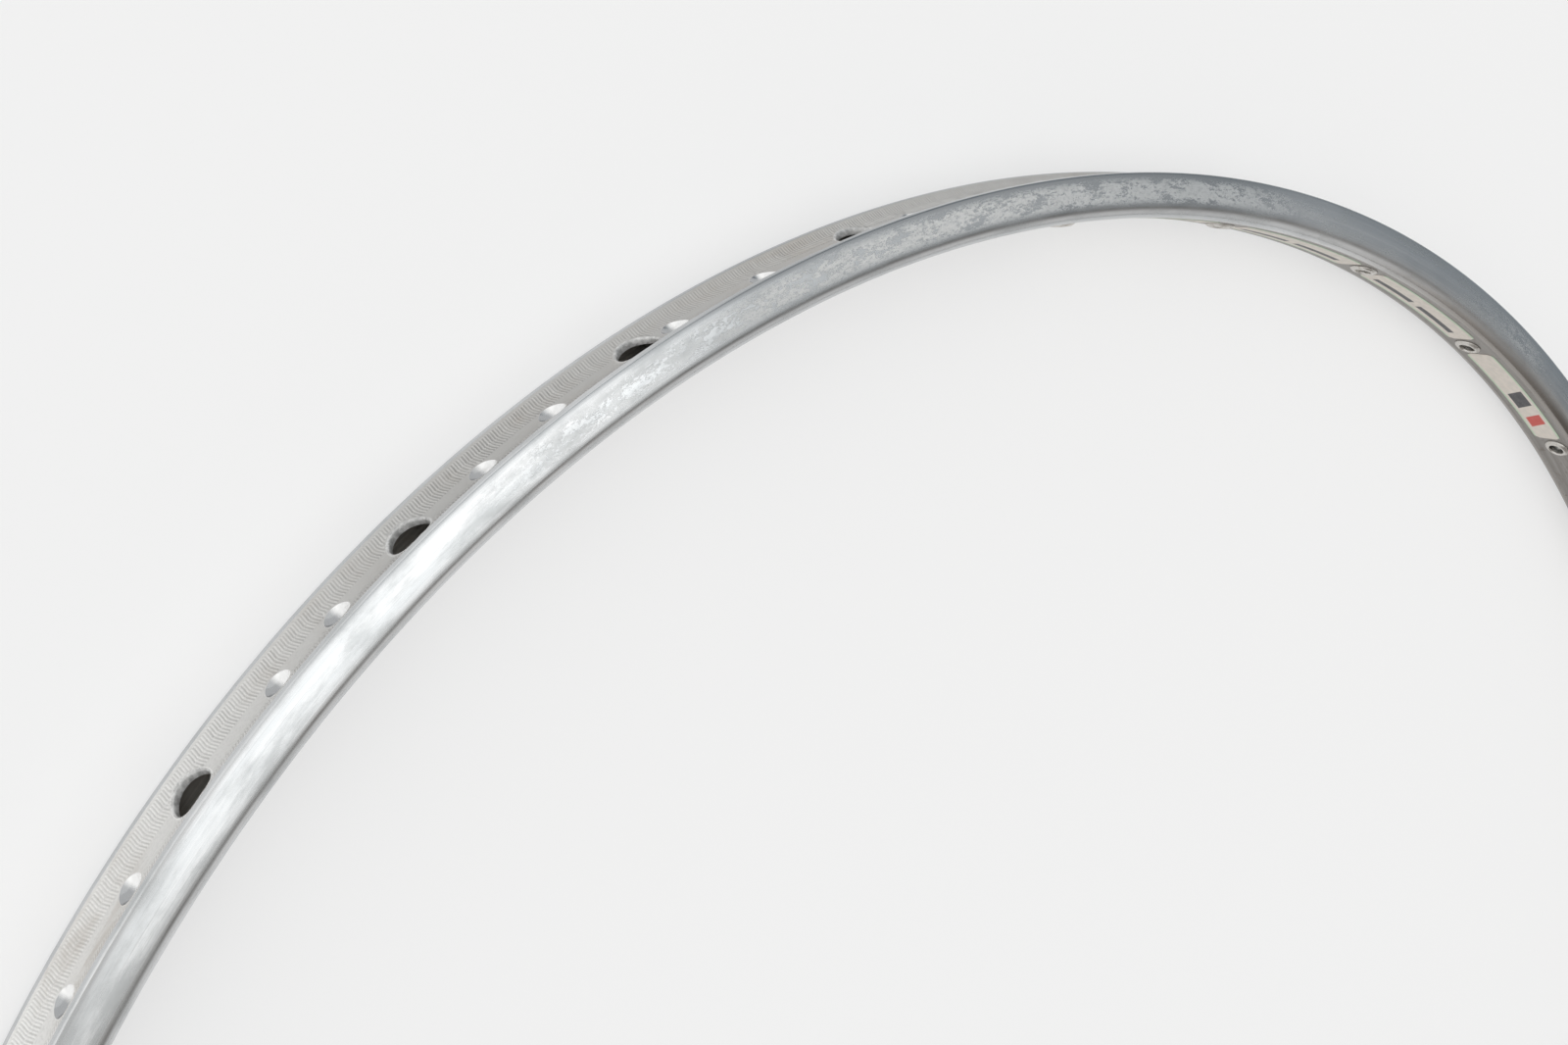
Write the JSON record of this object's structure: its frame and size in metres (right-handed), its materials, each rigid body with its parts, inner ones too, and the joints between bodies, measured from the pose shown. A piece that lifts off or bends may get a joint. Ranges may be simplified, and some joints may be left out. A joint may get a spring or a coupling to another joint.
{
  "type": "bicycle rim",
  "caption": "Shallow hollow-section tubular bicycle rim in silver aluminium, drilled for spokes and a valve, with a concave tyre bed.",
  "frame": {"origin": "centre of the wheel, on the rim's mid-plane", "axes": "+Z along the wheel axis, +X through the valve hole; the rim lies flat on its side"},
  "size_m": [0.634, 0.634, 0.02],
  "materials": {
    "rim_aluminium": "worn satin",
    "eyelet_steel": "plated",
    "sleeve_aluminium": "mill finish"
  },
  "bodies": {
    "root": {"rim_hoop": "rim_aluminium", "joint_sleeve": "sleeve_aluminium", "eyelet_01": "eyelet_steel", "eyelet_02": "eyelet_steel", "eyelet_03": "eyelet_steel", "eyelet_04": "eyelet_steel", "eyelet_05": "eyelet_steel", "eyelet_06": "eyelet_steel", "eyelet_07": "eyelet_steel", "eyelet_08": "eyelet_steel", "eyelet_09": "eyelet_steel", "eyelet_10": "eyelet_steel", "eyelet_11": "eyelet_steel", "eyelet_12": "eyelet_steel", "eyelet_13": "eyelet_steel", "eyelet_14": "eyelet_steel", "eyelet_15": "eyelet_steel", "eyelet_16": "eyelet_steel", "eyelet_17": "eyelet_steel", "eyelet_18": "eyelet_steel", "eyelet_19": "eyelet_steel", "eyelet_20": "eyelet_steel", "eyelet_21": "eyelet_steel", "eyelet_22": "eyelet_steel", "eyelet_23": "eyelet_steel", "eyelet_24": "eyelet_steel", "eyelet_25": "eyelet_steel", "eyelet_26": "eyelet_steel", "eyelet_27": "eyelet_steel", "eyelet_28": "eyelet_steel", "eyelet_29": "eyelet_steel", "eyelet_30": "eyelet_steel", "eyelet_31": "eyelet_steel", "eyelet_32": "eyelet_steel"}
  },
  "joints": []
}
